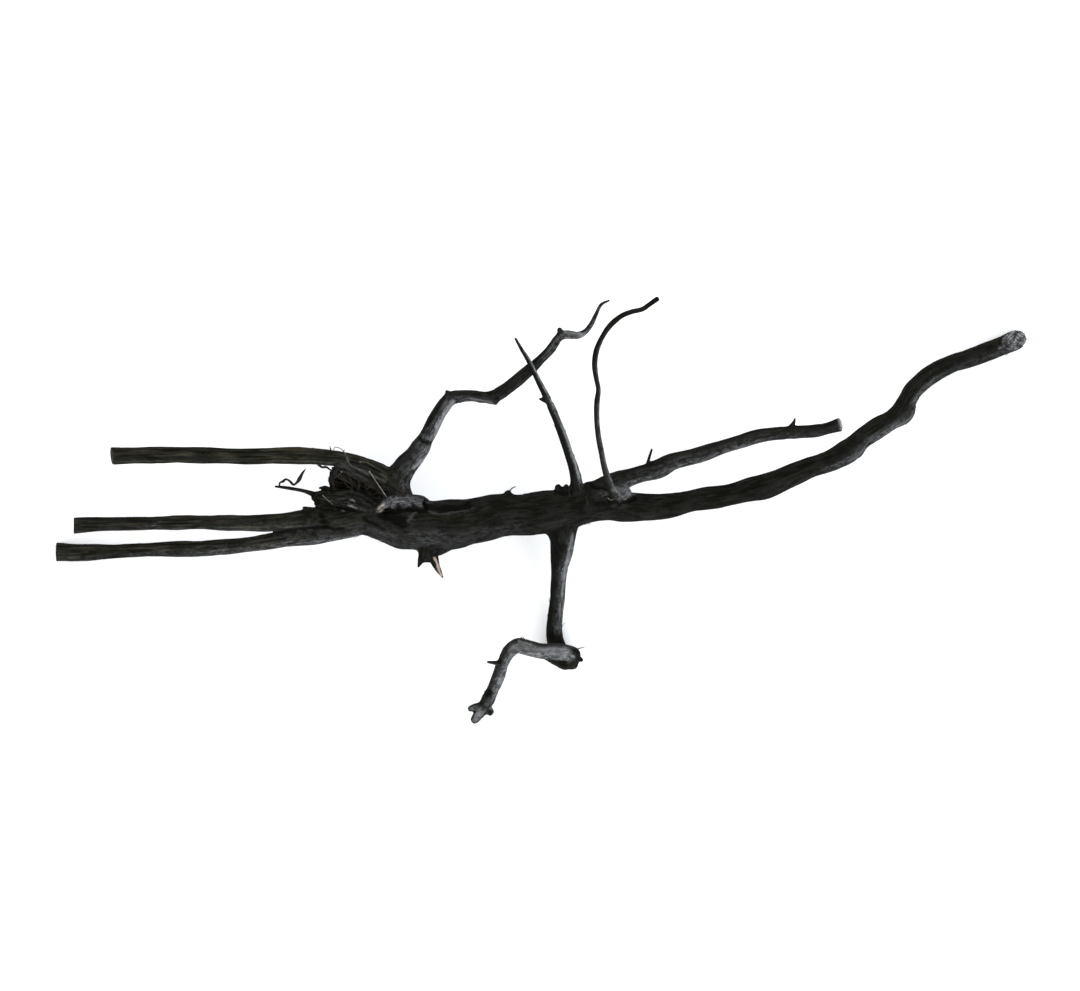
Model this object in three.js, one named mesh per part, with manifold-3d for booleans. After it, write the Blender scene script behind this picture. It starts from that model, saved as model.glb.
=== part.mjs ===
// A dry root, lying on a flat surface as it was dug up and washed clean.
//
// The wood grew as one piece, so it is one solid. A thick stem runs from the torn crown to a
// fork. Three sawn roots leave the crown on the left. On the right the stem forks into a long
// branch and a short one, both sawn off. A crooked branch and two thin twigs grow up and back,
// and a root with a hooked end grows forwards.
//
// Millimetres, +Z up. The origin is on the surface, under the middle of the root's outline. The
// root rests on three points: the sawn end of the lower root, the knob of the hooked root and
// the sawn end of the long branch.

import * as THREE from "three";
import { mergeVertices } from "three/addons/utils/BufferGeometryUtils.js";
import Module from "manifold-3d";

// Driving sizes of the mesh.
const RING_SPACING = 1.5; // distance between two rings along a limb, in radii
const CLOSEST_RINGS = 4.5; // shortest distance between two rings
const FEWEST_SIDES = 6;
const MOST_SIDES = 16;
const SIDES_PER_MM = 0.7; // sides of a limb's section for each millimetre of its radius
const KNOB_SHARE = 0.03; // how far a section swells and narrows, as a share of its radius
const KNOB_TURNS = 0.21; // how fast the swellings wind round a limb, in radians for each millimetre

// The limbs. Each row is a point of the centre line and the radius there: x, y, z, radius. Every
// limb but the main stem starts inside the limb that it grows from. A limb ends in a tip unless
// it has a saw cut, whose value is the direction that the sawn face looks in.

const mainStem = {
  line: [
    [-150, -8, 37, 10.5],
    [-133, -6, 37, 12],
    [-119, -3.5, 38, 11.8],
    [-104, -5.5, 40, 14.6],
    [-90, -7.8, 42, 16.8],
    [-76, -8.5, 43, 16.8],
    [-60, -8.4, 43, 16.8],
    [-43, -6, 42, 15.6],
    [-26, -2.5, 41, 14.2],
    [-7, -1.5, 40, 14],
    [13, 1.5, 40, 14.2],
    [32, 5, 40, 12.6],
    [48, 4.5, 39, 10.4],
    [62, 3.2, 37, 9.6],
    [74, 3, 35, 9.2],
    [88, 4.5, 32, 8],
    [107, 8.5, 28, 7.4],
    [121, 10.2, 26, 7.4],
    [138, 13.8, 25, 7.9],
    [153, 18, 25, 8.3],
    [168, 24.4, 26, 7.5],
    [181, 29.6, 27, 7.1],
    [194, 34, 28, 7],
    [206, 40.5, 28, 8.1],
    [216.5, 49.5, 27, 7.3],
    [227.5, 56.8, 25, 7],
    [239, 64, 22, 7.3],
    [246, 73, 19, 6.8],
    [251, 81.5, 16, 6.3],
    [262, 91, 14, 6.4],
    [276, 99, 12.5, 6.1],
    [290, 104, 11, 6.1],
    [303, 108.5, 9, 6.3],
    [319.4, 115.4, 7.46, 6.8],
  ],
  sawCut: [0.62, 0.22, 0.75],
};

const shortBranch = {
  line: [
    [28, 8, 42, 9],
    [46, 18, 46, 7.4],
    [63, 24, 50, 5.8],
    [78, 28.5, 55, 6.3],
    [88, 33.5, 58, 5.6],
    [106, 38, 60, 5.3],
    [119, 42.5, 62, 4.8],
    [132, 46.5, 66, 4.6],
    [145, 50.5, 71, 4.7],
    [158, 52, 74, 4.3],
    [171, 53, 76, 4.2],
    [181, 53.5, 78, 4.4],
    [190, 55.5, 81, 3.9],
    [198, 58, 84, 4.5],
  ],
  sawCut: [0.93, 0.2, 0.3],
};

const crookedBranch = {
  line: [
    [-99, 2, 42, 10.5],
    [-96.5, 14, 45, 10],
    [-94, 23, 47, 8.5],
    [-89.5, 30.5, 49, 7.4],
    [-83.5, 37.5, 50, 6.9],
    [-79.5, 43.5, 50, 6.7],
    [-76.4, 49, 49.5, 5.2],
    [-73.5, 54, 48.5, 5],
    [-69.8, 61.6, 46, 5],
    [-65, 69.4, 43, 5],
    [-60, 75.5, 41, 4.9],
    [-53, 77.2, 39, 4.3],
    [-45, 77.7, 37, 3.9],
    [-38, 76.6, 35, 4.2],
    [-31.5, 77, 34, 4.7],
    [-26, 80, 35, 4.5],
    [-19, 85, 37, 4.4],
    [-12, 90.5, 40, 4.3],
    [-5.5, 96, 43, 4.1],
    [0.8, 102, 46, 3.3],
    [6.2, 107.3, 48, 3.4],
    [10.3, 112.8, 50, 3.1],
    [14, 117.2, 51, 3.2],
    [19, 118, 51, 2.9],
    [25, 117.7, 49, 2.6],
    [30, 120, 46, 2.1],
    [34, 125, 44, 1.7],
    [37.5, 132, 43, 1.35],
    [41, 138.5, 43, 1.1],
    [46, 141, 44, 0.8],
  ],
};

const straightTwig = {
  line: [
    [25, 6, 44, 8],
    [24.5, 14, 50, 6.2],
    [24.4, 19, 54, 4.5],
    [22.6, 28, 62, 3.4],
    [19.8, 36.5, 69, 3.1],
    [16.1, 47.5, 76, 2.95],
    [12.1, 58, 83, 2.8],
    [8.2, 67.5, 89, 2.6],
    [4.4, 75.5, 94, 2.35],
    [-0.5, 85, 99, 2],
    [-4.4, 93, 103, 1.75],
    [-8.2, 100.5, 107, 1.5],
    [-12, 106.5, 110, 1.3],
    [-16, 113.5, 114, 0.9],
  ],
};

const wavyTwig = {
  line: [
    [54, 5, 42, 5],
    [50.5, 10.5, 51, 3.8],
    [46.5, 18.5, 60, 2.5],
    [43, 28, 70, 2.1],
    [40.5, 39.5, 81, 1.9],
    [38.5, 49.5, 89, 1.8],
    [37.3, 60.5, 97, 1.9],
    [37.3, 72, 104, 1.9],
    [38.2, 80.5, 109, 1.7],
    [36.8, 88, 112, 1.8],
    [35.7, 96.5, 116, 1.9],
    [36.8, 105.5, 120, 1.9],
    [40.4, 114, 123, 1.8],
    [46, 122, 127, 1.9],
    [53.5, 128, 130, 1.7],
    [60, 130.5, 132, 1.7],
    [66.5, 132, 134, 1.7],
    [71, 135, 136, 1.6],
    [76, 138.5, 138, 1.7],
  ],
};

const forwardRoot = {
  line: [
    [14.5, -2, 38, 13],
    [14.6, -11, 35, 11.4],
    [14.9, -18.5, 32, 9],
    [14.7, -26, 29, 7.5],
    [13.4, -36, 25.5, 5.8],
    [12.4, -47, 21, 5.2],
    [11.6, -59.5, 16, 4.95],
    [10.4, -70.5, 12, 5.2],
    [9.6, -80, 9.4, 5.4],
    [11, -89, 7.6, 5.8],
    [14, -95.5, 7.1, 6.8],
    [19, -99.5, 7.25, 7],
  ],
};

const hook = {
  line: [
    [19, -99, 11, 5.6],
    [22.5, -96.3, 16, 5.4],
    [18, -94.5, 21, 5.4],
    [10, -93.8, 24, 5.6],
    [0, -93.2, 26, 5.4],
    [-8, -91, 29, 5.3],
    [-15, -89.5, 30, 5],
    [-20.5, -93.5, 28, 4.6],
    [-24.7, -101.5, 25, 4.4],
    [-28, -110, 21, 4.3],
    [-31.6, -118.5, 16.5, 4.2],
    [-34.6, -125.5, 13, 4.6],
    [-37.5, -131, 10.5, 4.5],
    [-41, -136, 8.5, 3.9],
    [-44, -140.3, 7.5, 3],
  ],
};

const upperRoot = {
  line: [
    [-92, 5, 43, 9],
    [-97, 16, 46, 9.5],
    [-106, 24.5, 49, 7.4],
    [-118, 31, 52, 5.8],
    [-131, 35, 53.5, 5.3],
    [-146, 36.7, 54, 5.7],
    [-160, 37.4, 55, 5.9],
    [-176, 37.5, 57, 5.6],
    [-196, 37, 59, 5.3],
    [-219, 37.5, 61, 5.4],
    [-242, 38, 62, 5.4],
    [-265, 37.5, 63, 5.3],
    [-284, 37, 64, 5],
  ],
  sawCut: [-1, -0.12, 0.25],
};

const middleRoot = {
  line: [
    [-125, -4, 38, 10],
    [-150, -5, 38, 8],
    [-167, -6.5, 37, 6.5],
    [-184, -7.5, 35, 5.7],
    [-204, -7.5, 33, 5.4],
    [-227, -7, 31, 4.9],
    [-251, -7.5, 30, 4.8],
    [-274, -8, 29, 4.5],
    [-301, -8.5, 28, 4.5],
    [-312.4, -9, 28, 4.8],
  ],
  sawCut: [-1, 0, 0.1],
};

const lowerRoot = {
  line: [
    [-125, -7, 37, 10],
    [-146, -14, 34, 7.5],
    [-160, -16.5, 31, 6.3],
    [-174, -18.5, 28, 5.6],
    [-190, -21, 25, 5.3],
    [-207, -23, 23, 5.1],
    [-225, -24.5, 21, 5.3],
    [-248, -25, 18, 5],
    [-272, -26, 15, 4.5],
    [-296, -27, 11, 5.1],
    [-313, -27.5, 8, 6],
    [-326, -27, 6.35, 6.4],
  ],
  sawCut: [-1, 0, 0],
};

// The crown's torn wood between the upper and the middle root, and what is left of side roots
// and twigs.
const stumps = [
  {
    name: "torn ridge",
    line: [
      [-90, 2, 44, 10], [-112, 4.5, 44, 8.6], [-126, 8.5, 44, 7.2], [-138, 9.5, 44, 5.5],
      [-146, 9.5, 43, 4.2],
    ],
  },
  { name: "torn hollow", line: [[-98, 12, 38, 8], [-120, 18, 34, 7], [-137, 21.5, 36, 5]] },
  { name: "torn lip", line: [[-136, -2, 40, 6], [-147, 0, 41, 3.5], [-157, 1.8, 41, 2]] },
  {
    name: "ragged end",
    line: [[-134, 10, 43, 5.5], [-143, 10.6, 43.5, 5], [-149, 9.8, 44, 3.6], [-151, 9, 44, 2]],
  },
  {
    name: "web lip",
    line: [
      [-136, 31, 52, 2.4], [-124, 26.5, 51.5, 3.2], [-113, 21.5, 50.5, 4], [-103, 15.5, 49, 5],
      [-96, 8, 47, 6],
    ],
  },
  {
    name: "broken stub",
    line: [
      [-73, 2, 47, 4.6], [-78, 6, 51.5, 4.1], [-88, 8.2, 53.5, 3.9], [-98, 7.8, 55.5, 3.8],
      [-104.5, 4.6, 56.5, 3], [-107.5, 2, 56.5, 2],
    ],
  },
  {
    name: "snapped spur",
    line: [[-75, -14, 42, 9.5], [-75, -24, 44, 7.2], [-75.5, -29.5, 45, 5.2]],
  },
  {
    name: "left splinter",
    line: [[-77, -26, 44, 4], [-79.3, -32, 45, 2.6], [-81, -36.5, 46, 0.8]],
  },
  {
    name: "right splinter",
    line: [[-72.5, -27, 45, 4], [-69, -36, 46, 2.4], [-64.8, -43.6, 47, 0.7]],
  },
  { name: "spur heel", line: [[-52, -17, 42, 4.5], [-60, -22, 43, 4], [-67, -27, 43.5, 2.4]] },
  { name: "stem bump", line: [[-24, 8, 42, 4], [-21, 12.5, 43, 2.4]] },
  { name: "fork web", line: [[30, 4, 42, 11], [33, 14, 44, 7.6]] },
  { name: "fork bump", line: [[14, 10, 44, 5], [12, 16.5, 46, 2.4]] },
  { name: "second fork bump", line: [[18, 11, 44, 4.5], [17.5, 17, 45.5, 1.8]] },
  { name: "wavy twig foot", line: [[46, 4, 44, 5], [52.5, 8.5, 46, 4.6], [58, 13.5, 45, 3.4]] },
  {
    name: "first ledge",
    line: [[204, 38, 27, 6.2], [211, 41.4, 26.6, 6.6], [214.4, 43.8, 26, 5.3]],
  },
  {
    name: "second ledge",
    line: [[238, 61.5, 22, 6.2], [244, 65, 21, 6.6], [247.6, 68.4, 19.7, 5.4]],
  },
  { name: "knee knob", line: [[-60, 75, 41.5, 4.3], [-61.2, 79, 42, 2.2]] },
  { name: "elbow corner", line: [[-33, 76, 34, 4.6], [-30, 73.8, 34, 2.9]] },
  { name: "tip elbow knob", line: [[14, 116.5, 51, 3], [13, 121.4, 52, 1.7]] },
  {
    name: "short branch thorn",
    line: [[71.5, 28, 53, 1.9], [72, 34, 56, 1.15], [74.2, 41.6, 59, 0.85]],
  },
  { name: "short branch barb", line: [[164, 53, 75, 3], [167, 58, 77, 1.6], [168.5, 62, 78, 0.6]] },
  { name: "twig barb", line: [[5.5, 72.5, 92, 1.8], [0, 74.5, 93, 0.9]] },
  {
    name: "hook barb",
    line: [[-24, -102, 26, 2.6], [-30, -101.2, 27, 1.5], [-35, -100.6, 28, 0.9]],
  },
  { name: "hook heel", line: [[22, -97, 14, 3.6], [27.8, -99.7, 12, 1.5]] },
  { name: "knob heel", line: [[18, -98.8, 7.4, 7], [10, -96.4, 8, 5.8], [4.5, -95, 8.6, 4.2]] },
  {
    name: "left toe",
    line: [[-38.5, -131, 10, 3.6], [-43.5, -131.6, 10, 2.6], [-47, -132.6, 10, 2]],
  },
  { name: "right toe", line: [[-36.5, -131, 10, 3.6], [-33.4, -135, 9, 2.7]] },
  {
    name: "curled rootlet",
    line: [
      [-146, 10, 42, 2.4], [-157, 14, 45, 1.1], [-168, 16, 48, 0.9], [-176, 17, 50, 0.7],
    ],
  },
];

const limbs = [
  mainStem,
  shortBranch,
  crookedBranch,
  straightTwig,
  wavyTwig,
  forwardRoot,
  hook,
  upperRoot,
  middleRoot,
  lowerRoot,
  ...stumps,
];

// Points along a limb: each has a place, a direction and a radius. The spacing follows the radius.
function stations(line) {
  const centres = new THREE.CatmullRomCurve3(line.map(([x, y, z]) => new THREE.Vector3(x, y, z)));
  const thickness = line.map((row) => new THREE.Vector3(row[3], 0, 0));
  const radii = new THREE.CatmullRomCurve3(thickness, false, "catmullrom");
  const found = [];
  line.slice(1).forEach((row, i) => {
    const before = line[i];
    const length = Math.hypot(row[0] - before[0], row[1] - before[1], row[2] - before[2]);
    const spacing = Math.max(CLOSEST_RINGS, RING_SPACING * Math.min(row[3], before[3]));
    const steps = Math.max(1, Math.round(length / spacing));
    for (let step = 0; step < steps; step++) found.push((i + step / steps) / (line.length - 1));
  });
  return [...found, 1].map((t) => ({
    centre: centres.getPoint(t),
    along: centres.getTangent(t),
    radius: radii.getPoint(t).x,
  }));
}

// One ring of a limb. Its section swells and narrows a little, as roots do, in two lobes that
// wind along it.
function ringPoints({ centre, radius }, across, up, sides, distance) {
  const ring = [];
  for (let side = 0; side < sides; side++) {
    const angle = (side / sides) * 2 * Math.PI;
    const swell = 1 + KNOB_SHARE * Math.cos(2 * angle + KNOB_TURNS * distance);
    ring.push(
      centre
        .clone()
        .addScaledVector(across, radius * swell * Math.cos(angle))
        .addScaledVector(up, radius * swell * Math.sin(angle)),
    );
  }
  return ring;
}

// Moves a ring's points along the limb on to the plane of a saw cut.
function saw(ring, { centre, along }, sawCut) {
  const normal = new THREE.Vector3(...sawCut).normalize();
  for (const point of ring) {
    const off = point.clone().sub(centre).dot(normal) / along.dot(normal);
    point.addScaledVector(along, -off);
  }
}

// A limb as a closed skin: rings joined by triangles, and a fan over each end.
function limbGeometry({ line, sawCut }) {
  const places = stations(line);
  const thickest = Math.max(...line.map((row) => row[3]));
  const wanted = FEWEST_SIDES + SIDES_PER_MM * thickest;
  const sides = Math.round(THREE.MathUtils.clamp(wanted, FEWEST_SIDES, MOST_SIDES));
  const end = places.at(-1);
  if (!sawCut) {
    // a tip is two smaller rings past the end
    for (const [ahead, share] of [[0.45, 0.86], [0.8, 0.5]]) {
      const centre = end.centre.clone().addScaledVector(end.along, ahead * end.radius);
      places.push({ centre, along: end.along, radius: end.radius * share });
    }
  }

  const up = new THREE.Vector3(0, 0, 1);
  const across = new THREE.Vector3();
  const rings = [];
  let distance = 0;
  places.forEach((place, i) => {
    if (i > 0) distance += place.centre.distanceTo(places[i - 1].centre);
    across.crossVectors(up, place.along).normalize();
    up.crossVectors(place.along, across).normalize();
    rings.push(ringPoints(place, across, up, sides, distance));
  });
  if (sawCut) saw(rings.at(-1), end, sawCut);

  const points = rings.flat();
  const faces = [];
  for (let ring = 0; ring + 1 < rings.length; ring++) {
    for (let side = 0; side < sides; side++) {
      const a = ring * sides + side;
      const b = ring * sides + ((side + 1) % sides);
      faces.push(a, b, b + sides, a, b + sides, a + sides);
    }
  }
  const last = (rings.length - 1) * sides;
  const startCentre = points.push(places[0].centre) - 1;
  const endCentre = points.push(places.at(-1).centre) - 1;
  for (let side = 0; side < sides; side++) {
    const next = (side + 1) % sides;
    faces.push(startCentre, next, side);
    faces.push(endCentre, last + side, last + next);
  }
  return new THREE.BufferGeometry().setFromPoints(points).setIndex(faces);
}

const wasm = await Module();
wasm.setup();

function toSolid(geometry) {
  const merged = mergeVertices(geometry);
  return new wasm.Manifold(
    new wasm.Mesh({
      numProp: 3,
      vertProperties: merged.attributes.position.array,
      triVerts: new Uint32Array(merged.index.array),
    }),
  );
}

function toGeometry(solid) {
  const mesh = solid.getMesh();
  const geometry = new THREE.BufferGeometry()
    .setAttribute("position", new THREE.BufferAttribute(mesh.vertProperties, 3))
    .setIndex(new THREE.BufferAttribute(mesh.triVerts, 1));
  geometry.computeVertexNormals();
  return geometry;
}

const solids = limbs.map((limb) => toSolid(limbGeometry(limb)));
const joined = solids.reduce((whole, limb) => whole.add(limb));

// Small gaps shut in between limbs where they meet are filled: only the outer skin is kept.
const [wood] = joined.decompose().sort((a, b) => b.volume() - a.volume());

const bark = new THREE.MeshStandardMaterial({ color: 0x2b2925, roughness: 0.85, metalness: 0 });
const dryRoot = new THREE.Mesh(toGeometry(wood), bark);
dryRoot.name = "dry_root";

const part = new THREE.Group();
part.add(dryRoot);
export default part;
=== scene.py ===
import bmesh
import bpy
import numpy as np
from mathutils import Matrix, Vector
from mathutils.bvhtree import BVHTree


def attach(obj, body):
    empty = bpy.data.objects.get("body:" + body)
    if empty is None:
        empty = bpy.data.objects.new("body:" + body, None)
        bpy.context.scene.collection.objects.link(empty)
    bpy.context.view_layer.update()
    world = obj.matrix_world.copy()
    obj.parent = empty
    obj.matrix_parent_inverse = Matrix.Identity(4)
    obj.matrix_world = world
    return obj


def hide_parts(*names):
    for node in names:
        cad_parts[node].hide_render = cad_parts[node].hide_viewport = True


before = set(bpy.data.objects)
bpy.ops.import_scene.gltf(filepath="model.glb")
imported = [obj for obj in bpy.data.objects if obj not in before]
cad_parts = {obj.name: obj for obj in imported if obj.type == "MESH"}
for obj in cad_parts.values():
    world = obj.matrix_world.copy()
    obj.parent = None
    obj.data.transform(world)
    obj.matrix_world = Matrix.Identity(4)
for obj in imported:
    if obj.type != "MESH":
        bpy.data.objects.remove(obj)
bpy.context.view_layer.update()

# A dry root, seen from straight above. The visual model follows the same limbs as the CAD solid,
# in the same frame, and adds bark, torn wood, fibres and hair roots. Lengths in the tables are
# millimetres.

MM = 0.001

# ---------------------------------------------------------------- the limbs

# Points of each limb's centre line and the radius there: x, y, z, radius.
LIMBS = {
    "main_stem": [(-150, -8, 37, 10.5), (-133, -6, 37, 12), (-119, -3.5, 38, 11.8),
     (-104, -5.5, 40, 14.6), (-90, -7.8, 42, 16.8), (-76, -8.5, 43, 16.8), (-60, -8.4, 43, 16.8),
     (-43, -6, 42, 15.6), (-26, -2.5, 41, 14.2), (-7, -1.5, 40, 14), (13, 1.5, 40, 14.2),
     (32, 5, 40, 12.6), (48, 4.5, 39, 10.4), (62, 3.2, 37, 9.6), (74, 3, 35, 9.2), (88, 4.5, 32, 8),
     (107, 8.5, 28, 7.4), (121, 10.2, 26, 7.4), (138, 13.8, 25, 7.9), (153, 18, 25, 8.3),
     (168, 24.4, 26, 7.5), (181, 29.6, 27, 7.1), (194, 34, 28, 7), (206, 40.5, 28, 8.1),
     (216.5, 49.5, 27, 7.3), (227.5, 56.8, 25, 7), (239, 64, 22, 7.3), (246, 73, 19, 6.8),
     (251, 81.5, 16, 6.3), (262, 91, 14, 6.4), (276, 99, 12.5, 6.1), (290, 104, 11, 6.1),
     (303, 108.5, 9, 6.3), (319.4, 115.4, 7.46, 6.8)],
    "short_branch": [(28, 8, 42, 9), (46, 18, 46, 7.4), (63, 24, 50, 5.8), (78, 28.5, 55, 6.3),
     (88, 33.5, 58, 5.6), (106, 38, 60, 5.3), (119, 42.5, 62, 4.8), (132, 46.5, 66, 4.6),
     (145, 50.5, 71, 4.7), (158, 52, 74, 4.3), (171, 53, 76, 4.2), (181, 53.5, 78, 4.4),
     (190, 55.5, 81, 3.9), (198, 58, 84, 4.5)],
    "crooked_branch": [(-99, 2, 42, 10.5), (-96.5, 14, 45, 10), (-94, 23, 47, 8.5),
     (-89.5, 30.5, 49, 7.4), (-83.5, 37.5, 50, 6.9), (-79.5, 43.5, 50, 6.7), (-76.4, 49, 49.5, 5.2),
     (-73.5, 54, 48.5, 5), (-69.8, 61.6, 46, 5), (-65, 69.4, 43, 5), (-60, 75.5, 41, 4.9),
     (-53, 77.2, 39, 4.3), (-45, 77.7, 37, 3.9), (-38, 76.6, 35, 4.2), (-31.5, 77, 34, 4.7),
     (-26, 80, 35, 4.5), (-19, 85, 37, 4.4), (-12, 90.5, 40, 4.3), (-5.5, 96, 43, 4.1),
     (0.8, 102, 46, 3.3), (6.2, 107.3, 48, 3.4), (10.3, 112.8, 50, 3.1), (14, 117.2, 51, 3.2),
     (19, 118, 51, 2.9), (25, 117.7, 49, 2.6), (30, 120, 46, 2.1), (34, 125, 44, 1.7),
     (37.5, 132, 43, 1.35), (41, 138.5, 43, 1.1), (46, 141, 44, 0.8)],
    "straight_twig": [(25, 6, 44, 8), (24.5, 14, 50, 6.2), (24.4, 19, 54, 4.5), (22.6, 28, 62, 3.4),
     (19.8, 36.5, 69, 3.1), (16.1, 47.5, 76, 2.95), (12.1, 58, 83, 2.8), (8.2, 67.5, 89, 2.6),
     (4.4, 75.5, 94, 2.35), (-0.5, 85, 99, 2), (-4.4, 93, 103, 1.75), (-8.2, 100.5, 107, 1.5),
     (-12, 106.5, 110, 1.3), (-16, 113.5, 114, 0.9)],
    "wavy_twig": [(54, 5, 42, 5), (50.5, 10.5, 51, 3.8), (46.5, 18.5, 60, 2.5), (43, 28, 70, 2.1),
     (40.5, 39.5, 81, 1.9), (38.5, 49.5, 89, 1.8), (37.3, 60.5, 97, 1.9), (37.3, 72, 104, 1.9),
     (38.2, 80.5, 109, 1.7), (36.8, 88, 112, 1.8), (35.7, 96.5, 116, 1.9), (36.8, 105.5, 120, 1.9),
     (40.4, 114, 123, 1.8), (46, 122, 127, 1.9), (53.5, 128, 130, 1.7), (60, 130.5, 132, 1.7),
     (66.5, 132, 134, 1.7), (71, 135, 136, 1.6), (76, 138.5, 138, 1.7)],
    "forward_root": [(14.5, -2, 38, 13), (14.6, -11, 35, 11.4), (14.9, -18.5, 32, 9),
     (14.7, -26, 29, 7.5), (13.4, -36, 25.5, 5.8), (12.4, -47, 21, 5.2), (11.6, -59.5, 16, 4.95),
     (10.4, -70.5, 12, 5.2), (9.6, -80, 9.4, 5.4), (11, -89, 7.6, 5.8), (14, -95.5, 7.1, 6.8),
     (19, -99.5, 7.25, 7)],
    "hook": [(19, -99, 11, 5.6), (22.5, -96.3, 16, 5.4), (18, -94.5, 21, 5.4), (10, -93.8, 24, 5.6),
     (0, -93.2, 26, 5.4), (-8, -91, 29, 5.3), (-15, -89.5, 30, 5), (-20.5, -93.5, 28, 4.6),
     (-24.7, -101.5, 25, 4.4), (-28, -110, 21, 4.3), (-31.6, -118.5, 16.5, 4.2),
     (-34.6, -125.5, 13, 4.6), (-37.5, -131, 10.5, 4.5), (-41, -136, 8.5, 3.9),
     (-44, -140.3, 7.5, 3)],
    "upper_root": [(-92, 5, 43, 9), (-97, 16, 46, 9.5), (-106, 24.5, 49, 7.4), (-118, 31, 52, 5.8),
     (-131, 35, 53.5, 5.3), (-146, 36.7, 54, 5.7), (-160, 37.4, 55, 5.9), (-176, 37.5, 57, 5.6),
     (-196, 37, 59, 5.3), (-219, 37.5, 61, 5.4), (-242, 38, 62, 5.4), (-265, 37.5, 63, 5.5),
     (-284, 37, 64, 5.8)],
    "middle_root": [(-125, -4, 38, 10), (-150, -5, 38, 8), (-167, -6.5, 37, 6.5),
     (-184, -7.5, 35, 5.7), (-204, -7.5, 33, 5.4), (-227, -7, 31, 4.9), (-251, -7.5, 30, 4.8),
     (-274, -8, 29, 4.5), (-301, -8.5, 28, 4.9), (-312.4, -9, 28, 5.5)],
    "lower_root": [(-125, -7, 37, 10), (-146, -14, 34, 7.5), (-160, -16.5, 31, 6.3),
     (-174, -18.5, 28, 5.6), (-190, -21, 25, 5.3), (-207, -23, 23, 5.1), (-225, -24.5, 21, 5.3),
     (-248, -25, 18, 5), (-272, -26, 15, 4.5), (-296, -27, 11, 5.1), (-313, -27.5, 8, 6),
     (-326, -27, 6.35, 6.4)],
    "torn_ridge": [(-90, 2, 44, 10), (-112, 4.5, 44, 8.6), (-126, 8.5, 44, 7.2),
     (-138, 9.5, 44, 5.5), (-146, 9.5, 43, 4.2)],
    "torn_hollow": [(-98, 12, 38, 8), (-120, 18, 34, 7), (-137, 21.5, 36, 5)],
    "torn_lip": [(-136, -2, 40, 6), (-147, 0, 41, 3.5), (-157, 1.8, 41, 2)],
    "ragged_end": [(-134, 10, 43, 5.5), (-143, 10.6, 43.5, 5), (-149, 9.8, 44, 3.6),
     (-151, 9, 44, 2)],
    "web_lip": [(-136, 31, 52, 2.4), (-124, 26.5, 51.5, 3.2), (-113, 21.5, 50.5, 4),
     (-103, 15.5, 49, 5), (-96, 8, 47, 6)],
    "broken_stub": [(-76, 3, 47, 4.4), (-79, 6.6, 52, 4.7), (-88, 8.2, 53.5, 3.9),
     (-98, 7.8, 55.5, 3.8), (-104.5, 4.6, 56.5, 3), (-107.5, 2, 56.5, 2)],
    "snapped_spur": [(-75, -14, 42, 9.5), (-75, -24, 44, 7.2), (-75.5, -29.5, 45, 5.2)],
    "left_splinter": [(-77, -26, 44, 4), (-79.3, -32, 45, 2.6), (-81, -36.5, 46, 0.8)],
    "right_splinter": [(-72.5, -27, 45, 4), (-69, -36, 46, 2.4), (-64.8, -43.6, 47, 0.7)],
    "spur_heel": [(-52, -17, 42, 4.5), (-60, -22, 43, 4), (-67, -27, 43.5, 2.4)],
    "stem_bump": [(-24, 8, 42, 4), (-21, 12.5, 43, 2.4)],
    "fork_web": [(30, 4, 42, 11), (33, 14, 44, 7.6)],
    "fork_bump": [(14, 10, 44, 5), (12, 16.5, 46, 2.4)],
    "second_fork_bump": [(18, 11, 44, 4.5), (17.5, 17, 45.5, 1.8)],
    "wavy_twig_foot": [(46, 4, 44, 5), (52.5, 8.5, 46, 4.6), (58, 13.5, 45, 3.4)],
    "first_ledge": [(204, 38, 27, 6.2), (211, 41.4, 26.6, 6.6), (214.4, 43.8, 26, 5.3)],
    "second_ledge": [(238, 61.5, 22, 6.2), (244, 65, 21, 6.6), (247.6, 68.4, 19.7, 5.4)],
    "knee_knob": [(-60, 75, 41.5, 4.3), (-62, 80, 42, 1.7)],
    "elbow_corner": [(-33, 76, 34, 4.6), (-30, 73.8, 34, 2.9)],
    "tip_elbow_knob": [(14, 116.5, 51, 3), (13, 121.4, 52, 1.7)],
    "short_branch_thorn": [(71.5, 28, 53, 1.9), (72, 34, 56, 1.15), (74.2, 41.6, 59, 0.85)],
    "short_branch_barb": [(164, 53, 75, 3), (167, 58, 77, 1.6), (168.5, 62, 78, 0.6)],
    "twig_barb": [(5.5, 72.5, 92, 1.8), (0, 74.5, 93, 0.9)],
    "hook_barb": [(-24, -102, 26, 2.6), (-30, -101.2, 27, 1.5), (-35, -100.6, 28, 0.9)],
    "hook_heel": [(22, -97, 14, 3.6), (27.8, -99.7, 12, 1.5)],
    "knob_heel": [(18, -99.6, 7.8, 7.5), (10, -97, 8, 6.2), (4.5, -95.4, 8.6, 4.6)],
    "left_toe": [(-38.5, -131, 10, 3.6), (-43.5, -131.6, 10, 2.6), (-47, -132.6, 10, 2)],
    "right_toe": [(-36.5, -131, 10, 3.6), (-33.4, -135, 9, 2.7)],
    "curled_rootlet": [(-146, 10, 42, 2.6), (-157, 14, 45, 1.4), (-168, 16, 48, 1.2),
     (-176, 17, 50, 0.8)],
}

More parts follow.
